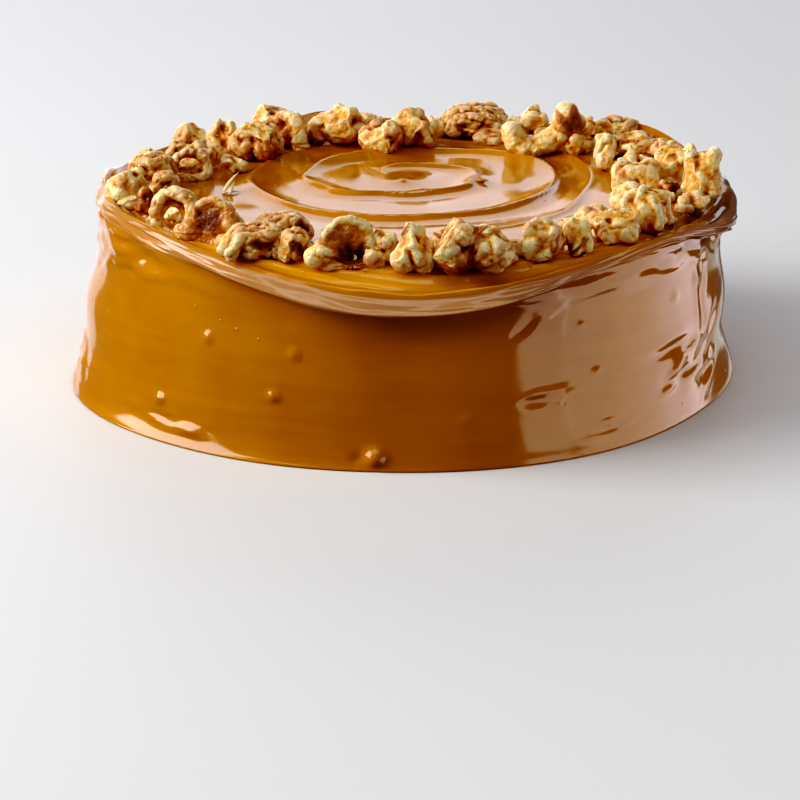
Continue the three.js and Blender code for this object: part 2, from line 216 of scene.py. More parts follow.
def coat_rows():
    """Every ring of the coat's skin from the middle of the base to the middle of
    the top, as functions of the direction round the torte."""
    rows = []

    def ring(radius_at, height_at):
        rows.append((radius_at, height_at))

    for share in (0.0, 0.55, 0.93):
        ring(lambda a, s=share: s * wall_radius(a, 0 * a), lambda a: 0 * a)
    for turn in (0, 30, 60):
        inset = BASE_EDGE * (1 - math.sin(math.radians(turn)))
        rise = BASE_EDGE * (1 - math.cos(math.radians(turn)))
        ring(lambda a, i=inset: wall_radius(a, 0 * a) - i, lambda a, r=rise: 0 * a + r)
    for share in np.linspace(0, 1, WALL_RINGS + 1)[:-1]:
        def height(a, s=share):
            return BASE_EDGE + s * (fold_bottom(a) - BASE_EDGE)
        ring(lambda a, h=height: wall_radius(a, h(a)), height)
    stations = np.linspace(0, 1, len(FOLD_OUT))
    for share in np.linspace(0, 1, LIP_RINGS):
        def section(table, s=share):
            return float(np.interp(s, stations, table))

        def lip(a, s=share, read=section):
            front = hump(a, -91, 36, 3)
            curl = hump(a, -5, 24)
            plain = np.clip(1 - front - curl, 0, 1)
            total = front + curl + plain
            up = (front * read(FOLD_UP) + curl * read(CURL_UP) + plain * read(EDGE_UP)) / total
            low = fold_bottom(a)
            z = low + up * (rim_height(a) - low)
            upright = ease(turn_between(a, -80) / 22) * (np.abs(turn_between(a, -40)) < 60)
            fold = read(FOLD_OUT) + upright * (read(UPRIGHT_OUT) - read(FOLD_OUT))
            out = 5.1 * front * fold + 4.6 * curl * read(CURL_OUT)
            rounding = 1 - 0.72 * hump(a, -43, 27, 4)
            return wall_radius(a, z) + out + plain * rounding * read(EDGE_OUT), z
        ring(lambda a, f=lip: f(a)[0], lambda a, f=lip: f(a)[1])
    crest = rows[-1]

    def shelf(a, radius, edge):
        outward = np.clip((radius - SHOULDER_START) / (edge - SHOULDER_START), 0, 1)
        front = hump(a, -91, 36, 3)
        power = 2.3 - 1.2 * front
        return TOP_LEVEL + (rim_height(a) - TOP_LEVEL) * outward ** power

    for share in np.linspace(1, 0, SHOULDER_RINGS + 1)[1:]:
        def radius(a, s=share):
            return SHOULDER_END + s * (crest[0](a) - SHOULDER_END)
        ring(radius, lambda a, r=radius: shelf(a, r(a), crest[0](a)))
    # The rings lie closest where the spiral is.
    outer = np.linspace(SHOULDER_END, 84, 9)[1:]
    spiral = np.linspace(84, 12, 76)[1:]
    middle = np.linspace(12, 0, 8)[1:]
    for radius in (*outer, *spiral, *middle):
        ring(lambda a, r=radius: 0 * a + r, lambda a: 0 * a + TOP_LEVEL)
    return rows


def coat_grid():
    """Places of the coat's skin in millimetres, by ring and by side, with the painted reflection on the
    face of the fold, and the painted light and shade on the shoulder, the crest and the curl."""
    angle = np.arange(COAT_SIDES) * 360 / COAT_SIDES - 180
    rows = coat_rows()
    radius = np.array([row[0](angle) for row in rows])
    z = np.array([row[1](angle) for row in rows])
    # The crest is drawn round, not left as a fold.
    for _ in range(3):
        for line in (radius, z):
            line[50:-90] = (line[49:-91] + 2 * line[50:-90] + line[51:-89]) / 4
    turn = np.radians(angle)[None, :]
    x = radius * np.cos(turn) + axis_shift(z)
    y = radius * np.sin(turn)
    skin = np.stack([x, y, z], -1)

    angles = np.broadcast_to(angle, z.shape)
    top = ease((z - 62) / 3) * ease((108 - radius) / 8)
    on_wall = 1 - ease((z - 58) / 8)
    # On top: the spiral and the soft waves of the spreading.
    relief = swirl_relief(x, y) * (1 - ease((radius - 84) / 10))
    relief += 0.4 * unevenness(skin, (30, 30, 60), 1) + 0.05 * unevenness(skin, 11, 2)
    # On the shoulder: grooves along the rim.
    along = np.stack([angles * 0.10, radius / 2.0, 0 * z], -1)
    shoulder = ease((radius - 97) / 4) * ease((z - 57) / 2)
    grooves = 0.5 * np.abs(unevenness(along, 1, 3)) - 0.2
    for start, start_radius, stop, stop_radius, height in RIDGES:
        share = np.clip((turn_between(angles, start) % 360) / (stop - start), 0, 1)
        gap = radius - start_radius - (stop_radius - start_radius) * share
        slope = np.where(gap < 0, np.exp(gap / 1.3), np.exp(-gap / 0.6))
        grooves = grooves + height * np.sin(np.pi * share) ** 0.6 * slope
    channel = 3.0 * hump(angles, -22, 22) * np.exp(-((radius - 106) / 3.2) ** 2)
    lift = top * relief + shoulder * (grooves * hump(angles, -92, 96, 6) - channel)
    # On the wall: low swells, long level streaks, strokes, dents and lumps.
    swell = 0.35 * unevenness(skin, (38, 38, 26), 4) + 0.04 * unevenness(skin, 9, 5)
    swell += 0.03 * unevenness(skin, (45, 45, 5), 6)
    for where, height, length, tall, roughness, tilt in SMEARS:
        sideways = np.radians(turn_between(angles, where)) * 114
        upward = z - height
        cosine, sine = math.cos(math.radians(tilt)), math.sin(math.radians(tilt))
        along_it = (sideways * cosine + upward * sine) / length
        across = (upward * cosine - sideways * sine) / tall
        pattern = np.stack([along_it * length / 13, across * tall / 2.8, 0 * z + where], -1)
        near = ease(1.35 - np.hypot(along_it, across) + 0.3 * unevenness(pattern, 2, 9))
        swell += roughness * near * unevenness(pattern, 1, 10)
    for where, height, length, width, depth, tilt in STROKES:
        sideways = np.radians(turn_between(angles, where)) * 114
        upward = z - height
        cosine, sine = math.cos(math.radians(tilt)), math.sin(math.radians(tilt))
        far = ((sideways * cosine + upward * sine) / length) ** 2
        near = (upward * cosine - sideways * sine) / width
        swell -= depth * np.exp(-far) * (np.exp(-near ** 2) - 0.45 * np.exp(-(near - 1.6) ** 2))
    for where, height, size, rise in LUMPS:
        sideways = np.radians(turn_between(angles, where)) * 116
        swell += rise * np.exp(-((sideways ** 2 + (z - height) ** 2) / size ** 2) ** 1.5)
    out = on_wall * swell * ease(z / 2)
    row = np.broadcast_to(np.arange(len(rows))[:, None], z.shape)
    drawn = np.stack([angles * 0.10, row * 0.24 + angles * 0.035, 0 * z], -1)
    lip = 0.22 * unevenness(drawn, 1, 7) + 0.10 * unevenness(drawn, 0.5, 8)
    lip = lip * ease((z - 50) / 3) * ease((radius - 108) / 3)
    lip = lip * (1 + 2.4 * hump(angles, -165, 28, 4) + 2.4 * hump(angles, -12, 24, 4))
    # The thin rim along the crest of the fold.
    rim = np.exp(-((row - FIRST_LIP_ROW - 25) / 1.5) ** 2) * hump(angles, -74, 42, 4)
    rim = rim * (0.8 + 0.5 * unevenness(along, 1, 14))
    skin[..., 0] += (out + lip + 0.4 * rim) * np.cos(turn)
    skin[..., 1] += (out + lip + 0.4 * rim) * np.sin(turn)
    skin[..., 2] += (lift + 0.9 * rim) * ease(z / 30)
    # The face of the fold carries a painted reflection: a pale beige that stands in for the light it
    # mirrors.
    ragged = 1.5 * unevenness(along, (1, 1.5, 1), 11)
    fold_reflection = ease((row - FIRST_LIP_ROW - 2 + ragged) / 3) * ease((FIRST_LIP_ROW + 23 - row) / 1.2)
    fold_reflection = fold_reflection * hump(angles, -86, 84, 6) * (0.85 + 0.3 * unevenness(along, (2, 3, 1), 12))
    # Painted light: the front shoulder is painted lighter, most on the grooves' ridges, and the crest's
    # rim lighter still. Painted shade: the curl on the right is painted dark.
    inside = ease((row - FIRST_LIP_ROW - 27) / 3)
    thin = shoulder * inside * hump(angles, -94, 62, 4) * (0.5 + 0.9 * np.clip(grooves, 0, 0.6))
    curl_shade = shoulder * hump(angles, -8, 25, 4) * (0.9 + 0.3 * unevenness(along, 1, 13))
    thin = thin + 0.8 * rim - curl_shade
    return skin, np.clip(fold_reflection, 0, 1), np.clip(thin, -1, 1)


def mesh_places(mesh):
    """The mesh's corners, one row for each."""
    places = np.empty(len(mesh.vertices) * 3)
    mesh.vertices.foreach_get("co", places)
    return places.reshape(-1, 3)


def spun_shape(name, rows, sides):
    """A closed shape of that many rings, spun from one line of points, with the
    ring and the side of every corner."""
    work = bmesh.new()
    line = [work.verts.new((0 if row in (0, rows - 1) else 1, 0, row)) for row in range(rows)]
    edges = [work.edges.new(pair) for pair in zip(line, line[1:])]
    bmesh.ops.spin(work, geom=line + edges, axis=(0, 0, 1), cent=(0, 0, 0), dvec=(0, 0, 0),
                   angle=2 * math.pi, steps=sides, use_merge=True)
    bmesh.ops.remove_doubles(work, verts=work.verts[:], dist=1e-4)
    bmesh.ops.recalc_face_normals(work, faces=work.faces[:])
    mesh = bpy.data.meshes.new(name)
    work.to_mesh(mesh)
    work.free()
    places = mesh_places(mesh)
    ring = np.rint(places[:, 2]).astype(int)
    turned = np.degrees(np.arctan2(places[:, 1], places[:, 0])) + 180
    side = np.rint(turned * sides / 360).astype(int) % sides
    return mesh, ring, side


def set_places(mesh, places):
    """Moves the mesh's corners to those places."""
    mesh.vertices.foreach_set("co", np.ascontiguousarray(places, float).ravel())
    mesh.shade_smooth()
    mesh.update()


def set_shade(mesh, name, values):
    """A value for each corner, which the finish reads by that name."""
    shade = mesh.attributes.new(name, "FLOAT", "POINT")
    shade.data.foreach_set("value", np.ascontiguousarray(values, np.float32))


def piece(name, mesh, material):
    """The finished piece, in its place and of that material."""
    made = bpy.data.objects.new(name, mesh)
    bpy.context.scene.collection.objects.link(made)
    mesh.materials.clear()
    mesh.materials.append(material)
    return made


class Signal:
    """A socket of a finish, which can be reckoned with."""

    def __init__(self, finish, socket):
        self.finish = finish
        self.socket = socket

    def reckon(self, operation, *values):
        settings = {"operation": operation}
        return self.finish.node("Math", settings, dict(enumerate(values)))

    def __add__(self, other):
        return self.reckon("ADD", self, other)

    def __sub__(self, other):
        return self.reckon("SUBTRACT", self, other)

    def __rsub__(self, other):
        return self.reckon("SUBTRACT", other, self)

    def __mul__(self, other):
        return self.reckon("MULTIPLY", self, other)

    def __pow__(self, other):
        return self.reckon("POWER", self, other)

    __radd__ = __add__
    __rmul__ = __mul__


class Finish:
    """A material, put together from nodes."""

    def __init__(self, name):
        self.material = bpy.data.materials.new(name)
        self.material.use_nodes = True
        self.tree = self.material.node_tree
        self.tree.nodes.clear()

    def node(self, kind, settings=None, sockets=None, output=0):
        """One node of the material; its first or named output is the result."""
        made = self.tree.nodes.new("ShaderNode" + kind)
        for key, value in (settings or {}).items():
            if key == "stops":
                self.set_stops(made.color_ramp, value)
            else:
                setattr(made, key, value)
        for key, value in (sockets or {}).items():
            if isinstance(value, Signal):
                self.tree.links.new(value.socket, made.inputs[key])
            else:
                made.inputs[key].default_value = value
        return Signal(self, made.outputs[output])

    def set_stops(self, ramp, stops):
        while len(ramp.elements) < len(stops):
            ramp.elements.new(1.0)
        for element, (place, color) in zip(ramp.elements, stops):
            element.position = place
            element.color = color

    def place(self):
        return self.node("TexCoord", output="Object")

    def noise(self, where, scale, detail=2.0, roughness=0.5):
        sockets = {"Vector": where, "Scale": scale, "Detail": detail, "Roughness": roughness}
        return self.node("TexNoise", {"noise_dimensions": "3D"}, sockets)

    def span(self, value, low, high, to_low=0.0, to_high=1.0):
        """The value brought from one range to another, held at the ends."""
        sockets = {"Value": value, "From Min": low, "From Max": high,
                   "To Min": to_low, "To Max": to_high}
        settings = {"clamp": True, "interpolation_type": "SMOOTHSTEP"}
        return self.node("MapRange", settings, sockets)

    def ramp(self, value, stops):
        """The colour at that value, between stops of place and colour."""
        stops = [(place, (*color, 1)) for place, color in stops]
        return self.node("ValToRGB", {"stops": stops}, {"Fac": value})

    def blend(self, share, one, other):
        """Two colours mixed by that share."""
        sockets = {0: share, 6: one, 7: other}
        return self.node("Mix", {"data_type": "RGBA"}, sockets, output=2)

    def surface(self, **sockets):
        """The finished material, from what its shader takes."""
        sockets = {key.replace("_", " "): value for key, value in sockets.items()}
        shader = self.node("BsdfPrincipled", {}, sockets)
        out = self.tree.nodes.new("ShaderNodeOutputMaterial")
        self.tree.links.new(shader.socket, out.inputs["Surface"])
        return self.material


# Colours of the cream: its two ambers and the streaks; painted light on the front shoulder and the
# crest, painted shade on the curl, and a painted reflection on the face of the fold.
AMBER = (0.47, 0.19, 0.009, 1)
WARM_AMBER = (0.55, 0.235, 0.014, 1)
STREAK_COLOR = (0.62, 0.28, 0.025, 1)
PAINTED_LIGHT_COLOR = (0.76, 0.37, 0.035, 1)
PAINTED_SHADE_COLOR = (0.22, 0.08, 0.012, 1)
FOLD_REFLECTION_COLOR = (0.54, 0.295, 0.15, 1)


def caramel_finish():
    """Glossy cooked caramel cream: amber, a little translucent, with the fine
    streaks of the spatula and tiny air bubbles in its skin."""
    finish = Finish("caramel_cream")
    where = finish.place()
    parts = finish.node("SeparateXYZ", {}, {"Vector": where})
    x, y, z = (Signal(finish, parts.socket.node.outputs[index]) for index in range(3))
    out = (x * x + y * y) ** 0.5
    drawn = finish.node("CombineXYZ", {}, {0: x * 14, 1: y * 14, 2: (z + out) * 260})
    streaks = finish.noise(drawn, 1.0, 3.0, 0.6)
    cloud = finish.noise(where, 24.0, 3.0, 0.5)
    fine = finish.noise(where, 420.0, 2.0, 0.5)
    cells = finish.node("TexVoronoi", {"feature": "F1"}, {"Vector": where, "Scale": 150.0})
    bubble = 1 - finish.span(cells, 0.03, 0.11)
    amber = finish.blend(finish.span(cloud, 0.3, 0.7), AMBER, WARM_AMBER)
    amber = finish.blend(finish.span(streaks, 0.35, 0.75, 0.0, 0.35), amber, STREAK_COLOR)
    pale = finish.node("Attribute", {"attribute_name": "pale"}, output="Fac")
    thin = finish.node("Attribute", {"attribute_name": "thin"}, output="Fac")
    # Painted light on the front shoulder and the crest, painted shade on the curl.
    amber = finish.blend(thin, amber, PAINTED_LIGHT_COLOR)
    amber = finish.blend(thin * -1, amber, PAINTED_SHADE_COLOR)
    # Painted reflection: pale beige on the face of the fold.
    amber = finish.blend(pale * 0.85, amber, FOLD_REFLECTION_COLOR)
    some = finish.span(finish.noise(where, 60.0, 1.0), 0.52, 0.6)
    relief = streaks * 0.30 + fine * 0.06 + bubble * some * 2.2
    bump = finish.node("Bump", {}, {"Strength": 0.22, "Distance": 0.0004, "Height": relief})
    return finish.surface(
        Base_Color=amber,
        Roughness=finish.span(streaks, 0.3, 0.8, 0.09, 0.16) + 0.04 * pale,
        Specular_IOR_Level=0.5,
        Subsurface_Weight=0.12,
        Subsurface_Radius=(1.0, 0.35, 0.08),
        Subsurface_Scale=0.003,
        Normal=bump)


skin, fold_reflection, thin = coat_grid()
coat_mesh, coat_ring, coat_side = spun_shape("coat", skin.shape[0], COAT_SIDES)
set_places(coat_mesh, skin[coat_ring, coat_side] * MM)
# The painted reflection on the face of the fold, for each corner.
set_shade(coat_mesh, "pale", fold_reflection[coat_ring, coat_side])
# Painted light and shade on the shoulder, the crest and the curl, for each corner.
set_shade(coat_mesh, "thin", thin[coat_ring, coat_side])
caramel = caramel_finish()
coat = piece("cream_coat", coat_mesh, caramel)
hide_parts("coated_torte")
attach(coat, "root")

# A flick that the spatula pulled up where it left the cream: place, length,
# thickness, heading and rise in degrees.
FLICK = [29, 12.5, 5.0, 1.3, -35, 22]


def flick(work, x, y, length, thickness, heading, rise):
    """A tapering tip, bent over at its end."""
    made = bmesh.ops.create_icosphere(work, subdivisions=3, radius=1.0)
    along = Matrix.Rotation(math.radians(heading), 4, "Z")
    along = along @ Matrix.Rotation(math.radians(-rise), 4, "Y")
    for corner in made["verts"]:
        share = (corner.co.x + 1) / 2
        wide = thickness * (1 - 0.8 * share)
        bent = Vector((length * share, wide * corner.co.y * 1.6, wide * corner.co.z))
        bent.z -= 0.25 * length * share ** 2
        corner.co = (along @ bent + Vector((x, y, TOP_LEVEL))) * MM


flick_work = bmesh.new()
flick(flick_work, *FLICK)
flick_mesh = bpy.data.meshes.new("flicks")
flick_work.to_mesh(flick_mesh)
flick_work.free()
flick_mesh.shade_smooth()
cream_flick = piece("cream_flick", flick_mesh, caramel)
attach(cream_flick, "root")

# ---- The walnuts -------------------------------------------------------------
# A ring of broken walnut kernels, laid by hand on the soft cream.  A kernel is a
# pale, brittle nut grown in rounded folds, under a thin tan skin that has rubbed
# off the ridges and stays brown in the furrows.  Each piece is its own solid.

# How each kind of piece is folded: winding folds as lines of points in the
# piece's own box (x along, y towards the back, z up, all -1 to 1), each with its
# thickness as a share of the piece's mean half width.
KERNEL_FOLDS = {
    "half": [
        (0.66, [(-0.4, 0.45, -0.4), (0.0, 0.5, 0.1), (0.4, 0.45, -0.3)]),
        (0.46, [(-0.15, 0.2, 0.35), (0.2, 0.2, 0.3), (0.3, 0.1, -0.3), (0.0, 0.05, -0.5)]),
        (0.22, [(-0.5, -0.1, -0.1), (-0.48, -0.2, 0.4), (-0.2, -0.1, 0.8), (0.1, -0.05, 0.92)]),
        (0.25, [(0.1, -0.05, 0.9), (0.42, -0.1, 0.74), (0.62, -0.15, 0.35), (0.7, -0.2, -0.1)]),
        (0.32, [(0.66, -0.2, 0.1), (0.74, -0.25, -0.3), (0.78, -0.3, -0.85)]),
        (0.50, [(-0.8, -0.25, -0.55), (-0.62, -0.3, -0.4)]),
        (0.26, [(-0.5, -0.4, -0.9), (0.0, -0.3, -0.9), (0.5, -0.4, -0.9)]),
    ],
    "loop": [
        (0.50, [(-0.4, 0.5, -0.5), (0.4, 0.5, -0.4)]),
        (0.30, [(-0.8, 0.1, 0.1), (-0.45, 0.3, 0.7), (0.2, 0.3, 0.8), (0.75, 0.1, 0.4)]),
        (0.32, [(0.75, 0.0, 0.4), (0.8, -0.3, -0.3), (0.3, -0.6, -0.65), (-0.4, -0.6, -0.6)]),
        (0.30, [(-0.4, -0.6, -0.6), (-0.85, -0.3, -0.3), (-0.8, 0.1, 0.1)]),
    ],
    "arch": [
        (0.36, [(-0.75, -0.2, -0.9), (-0.75, -0.2, -0.1), (-0.45, 0.0, 0.6), (0.1, 0.1, 0.75)]),
        (0.40, [(0.1, 0.1, 0.7), (0.6, 0.1, 0.5), (0.8, 0.0, -0.1), (0.75, 0.0, -0.7)]),
        (0.34, [(-0.3, 0.5, 0.3), (0.3, 0.6, 0.0), (0.5, 0.6, -0.6)]),
    ],
    "hook": [
        (0.40, [(-0.8, -0.1, 0.1), (-0.72, -0.2, -0.35), (-0.4, -0.3, -0.62), (-0.1, -0.25, -0.5)]),
        (0.44, [(-0.1, -0.2, -0.5), (0.25, 0.0, -0.15), (0.42, 0.1, 0.3), (0.42, 0.1, 0.72)]),
        (0.36, [(0.35, 0.1, 0.6), (0.62, 0.0, 0.3), (0.68, -0.05, -0.2)]),
        (0.30, [(0.2, -0.1, -0.6), (0.55, -0.2, -0.62), (0.85, -0.1, -0.45)]),
    ],
    "blade": [
        (0.34, [(-0.6, 0.3, 0.3), (-0.1, 0.2, 0.8), (0.35, 0.0, 0.75)]),
        (0.34, [(0.35, 0.0, 0.75), (0.6, -0.2, 0.2), (0.72, -0.4, -0.3), (0.85, -0.5, -0.85)]),
        (0.42, [(-0.6, 0.3, 0.3), (-0.3, 0.3, -0.4), (0.3, 0.2, -0.4)]),
        (0.30, [(-0.5, -0.3, 0.0), (-0.1, -0.4, -0.5), (0.3, -0.3, 0.1)]),
    ],
}
KERNEL_CORES = {"chunk": (0.6, 7), "lobe": (0.56, 4)}    # thickness, and folds round it
RIBBED_CORE = 0.58
KERNEL_DAMAGE = {"chunk": (3, 1), "lobe": (2, 1), "ribbed": (1, 0)}    # broken faces, pits
KERNEL_VOXEL = 0.55             # size of the faces of the finished skin


def fold_line(points, pitch):
    """Evenly spaced places on a smooth line through those points."""
    points = [np.array(point, float) for point in points]
    ends = [2 * points[0] - points[1], *points, 2 * points[-1] - points[-2]]
    places = []
    for before, start, stop, after in zip(ends, ends[1:], ends[2:], ends[3:]):
        steps = max(2, int(np.linalg.norm(stop - start) / pitch) + 1)
        for t in np.arange(steps) / steps:
            bend = 2 * start + (stop - before) * t
            bend = bend + (2 * before - 5 * start + 4 * stop - after) * t ** 2
            bend = bend + (3 * start - before - 3 * stop + after) * t ** 3
            places.append(bend / 2)
    places.append(points[-1])
    return places


def grown_folds(count, chance):
    """Random folds that wind over a round core, kept clear of each other."""
    starts = []
    for _ in range(count):
        best = None
        for _ in range(12):
            trial = Vector((chance.gauss(0, 1), chance.gauss(0, 1), chance.gauss(0.35, 0.9)))
            trial.normalize()
            room = min([(trial - other).length for other in starts], default=2)
            if best is None or room > best[0]:
                best = (room, trial)
        starts.append(best[1])
    folds = []
    for start in starts:
        ahead = start.cross(Vector((chance.gauss(0, 1), chance.gauss(0, 1), chance.gauss(0, 1))))
        ahead.normalize()
        bend = chance.uniform(-0.9, 0.9)
        line = [start]
        for _ in range(chance.choice((2, 3, 3, 4))):
            turned = Matrix.Rotation(bend, 3, line[-1]) @ ahead
            line.append((line[-1] + 0.55 * turned).normalized())
            ahead = (turned - turned.project(line[-1])).normalized()
        reach = chance.uniform(0.55, 0.74)
        curl_shade = chance.uniform(0.22, 0.38)
        folds.append((curl_shade, [tuple(reach * point) for point in line]))
    return folds


def ribbed_folds(count, chance):
    """Ridges side by side that arch over the piece, as on the outside of a half."""
    folds = []
    for number in range(count):
        side = (2 * number + 1 - count) / count * 0.78
        sway = chance.uniform(-0.14, 0.14)
        top = 0.66 * (1 - 0.35 * side * side) * chance.uniform(0.75, 1.1)
        start, stop = chance.uniform(0.5, 0.85), chance.uniform(0.5, 0.85)
        line = [(-start, side - sway, -0.45), (-0.45, side + sway, 0.75 * top),
                (0, side - sway, top), (0.45, side + sway, 0.8 * top), (stop, side, -0.4)]
        folds.append((0.95 / count * chance.uniform(0.75, 1.0), line))
    lobes = [fold for fold in grown_folds(4, chance) if chance.random() < 0.7]
    return folds + lobes


def kernel_balls(work, kind, half, heading, chance):
    """The rough piece: balls strung along its folds round a core."""
    mean = sum(half) / 3
    bend = chance.uniform(-0.3, 0.3)
    middle = [(-0.45, -bend, -0.15), (0, bend, -0.05), (0.45, -bend, -0.15)]
    if kind in KERNEL_FOLDS:
        folds = KERNEL_FOLDS[kind]
    elif kind == "ribbed":
        folds = [(RIBBED_CORE, middle), *ribbed_folds(chance.choice((2, 3, 3, 4)), chance)]
    else:
        core, count = KERNEL_CORES[kind]
        folds = [(core, middle), *grown_folds(count, chance)]
    turn = Matrix.Rotation(math.radians(heading), 3, "Z")
    for curl_shade, line in folds:
        line = [(x * half[0], y * half[1], z * half[2]) for x, y, z in line]
        radius = curl_shade * mean
        for place in fold_line(line, 0.55 * radius):
            size = radius * chance.uniform(0.95, 1.06)
            spot = turn @ Vector(place) + Vector([chance.uniform(-0.12, 0.12) * radius] * 3)
            bmesh.ops.create_icosphere(work, subdivisions=2, radius=size,
                                       matrix=Matrix.Translation(spot))


def remeshed(mesh, voxel):
    """The mesh's outer skin as one closed surface of even faces."""
    rough = bpy.data.objects.new("rough", mesh)
    bpy.context.scene.collection.objects.link(rough)
    modifier = rough.modifiers.new("skin", "REMESH")
    modifier.mode = "VOXEL"
    modifier.voxel_size = voxel
    solid = rough.evaluated_get(bpy.context.evaluated_depsgraph_get())
    whole = bpy.data.meshes.new_from_object(solid)
    bpy.data.objects.remove(rough)
    bpy.data.meshes.remove(mesh)
    return whole


def mesh_normals(mesh):
    """Which way the mesh faces at each corner."""
    normals = np.empty(len(mesh.vertices) * 3, np.float32)
    mesh.vertex_normals.foreach_get("vector", normals)
    return normals.reshape(-1, 3).astype(float)


def relaxed(mesh, places, rounds):
    """The places after so many rounds of moving each to the middle of its
    neighbours."""
    ends = np.empty(len(mesh.edges) * 2, np.int32)
    mesh.edges.foreach_get("vertices", ends)
    one, other = ends.reshape(-1, 2).T
    number = np.bincount(ends, minlength=len(places))[:, None]
    for _ in range(rounds):
        total = np.zeros_like(places)
        for axis in range(3):
            total[:, axis] = np.bincount(one, places[other, axis], len(places))
            total[:, axis] += np.bincount(other, places[one, axis], len(places))
        places = total / number
    return places


def with_pits(places, normals, half, pits, seed, chance):
    """The places with rough bowls eaten in, and how deep in a bowl each one is."""
    depth = np.zeros(len(places))
    for _ in range(pits):
        middle = places[chance.randrange(len(places))]
        if middle[2] > -0.5 * half[2]:
            reach = chance.uniform(0.35, 0.6) * half.mean()
            stretch = np.array([chance.uniform(0.6, 1.8) for _ in range(3)])
            near = np.linalg.norm((places - middle) * stretch, axis=1) / reach
            near = near * (1 + 0.3 * unevenness(places, 3.0, seed + 7))
            bowl = np.clip(1 - near ** 2, 0, 1)
            places = places - 0.28 * reach * bowl[:, None] * normals
            depth = np.maximum(depth, bowl)
    return places, depth


def with_breaks(places, breaks, seed, chance):
    """The places cut back along rough broken faces, and how far each is on one."""
    broken = np.zeros(len(places))
    for _ in range(breaks):
        toward = Vector((chance.gauss(0, 1), chance.gauss(-0.5, 1), chance.gauss(0.3, 0.7)))
        toward = np.array(toward.normalized())
        outward = places @ toward
        beyond = outward - chance.uniform(0.66, 0.84) * outward.max()
        rough = 0.3 * unevenness(places, 3.0, seed + 4) + 0.12 * unevenness(places, 1.2, seed + 6)
        cut = np.maximum(beyond - rough, 0)
        places = places - 0.9 * cut[:, None] * toward
        broken = np.maximum(broken, ease(cut / 0.6))
    return places, broken


def stain_depth(unit, stains, seed):
    """How dark each place is, under stains that run out in rays."""
    dark = np.zeros(len(unit))
    for x, y, z, reach, strength in stains:
        apart = unit - np.array((x, y, z))
        ray = np.arctan2(apart[:, 2] + 0.4, apart[:, 0])
        rays = np.stack([5 * ray, 0 * ray, 0 * ray + seed], -1)
        near = np.linalg.norm(apart, axis=1) / reach * (1 + 0.45 * unevenness(rays, 1, 8))
        dark = np.maximum(dark, strength * np.exp(-near ** 2.5))
    return dark


def kernel_mesh(name, kind, low, high, heading, skin, stains, seed):
    """One piece of walnut filling the box from low to high, in millimetres."""
    chance = random.Random(seed)
    breaks, pits = KERNEL_DAMAGE.get(kind, (0, 0))
    half = (high - low) / 2
    work = bmesh.new()
    kernel_balls(work, kind, half, heading, chance)
    balls = bpy.data.meshes.new(name)
    work.to_mesh(balls)
    work.free()
    mesh = remeshed(balls, KERNEL_VOXEL)
    places = relaxed(mesh, mesh_places(mesh), 2)
    set_places(mesh, places)
    normals = mesh_normals(mesh)
    # Furrows between puffed ridges, deeper where the skin is left.
    fold = np.abs(unevenness(places, 4.6, seed + 1)) ** 0.6
    wrinkle = np.abs(unevenness(places, 2.3, seed + 2)) ** 0.7
    relief = 1.0 * fold + 0.35 * wrinkle + 0.12 * unevenness(places, 1.1, seed + 3)
    relief = relief * (0.5 if kind == "half" else 0.25 + 0.9 * skin)
    places = places + normals * (relief - 0.5)[:, None]
    places, pitted = with_pits(places, normals, half, pits, seed, chance)
    places, broken = with_breaks(places, breaks, seed, chance)
    least, most = places.min(0), places.max(0)
    places = (places - (least + most) / 2) * (2 * half / (most - least))
    set_places(mesh, places)
    # How far each place is sunk in a hollow; the finish paints shade by it.
    sunk = ((relaxed(mesh, places, 14) - places) * mesh_normals(mesh)).sum(1)
    cover = 0.57 + 1.3 * (skin - 0.5) + 0.55 * unevenness(places, 6.0, seed + 5) - 0.7 * broken
    set_shade(mesh, "hollow", np.clip(0.46 + sunk / 1.1 + 0.12 * pitted, 0, 1))
    set_shade(mesh, "skin", np.clip(cover, 0, 1))
    set_shade(mesh, "stain", stain_depth(places / half, stains, seed))
    set_places(mesh, (places + (low + high) / 2) * MM)
    return mesh


# Colours of the bare flesh and of the skin, from the ridges down to the furrows. The darkening into the
# furrows is partly the skin left there and partly painted shade; the orange in the flesh's hollows is a
# painted glow of light through the flesh.
FLESH_STOPS = [
    (0.20, (0.94, 0.78, 0.46)), (0.38, (0.94, 0.65, 0.23)), (0.54, (0.87, 0.42, 0.09)),
    (0.68, (0.64, 0.25, 0.05)), (0.86, (0.32, 0.10, 0.025)),
]
SKIN_STOPS = [
    (0.20, (0.82, 0.52, 0.24)), (0.38, (0.70, 0.35, 0.115)), (0.54, (0.54, 0.22, 0.055)),
    (0.70, (0.35, 0.12, 0.03)), (0.86, (0.16, 0.045, 0.015)),
]
# A stain, from its rim to its middle, and near-white painted glints on the skin.
STAIN_RIM = (0.60, 0.25, 0.05, 1)
STAIN_BROWN = (0.26, 0.085, 0.03, 1)
STAIN_DARK = (0.085, 0.028, 0.030, 1)
PAINTED_GLINT_COLOR = (0.95, 0.80, 0.56, 1)


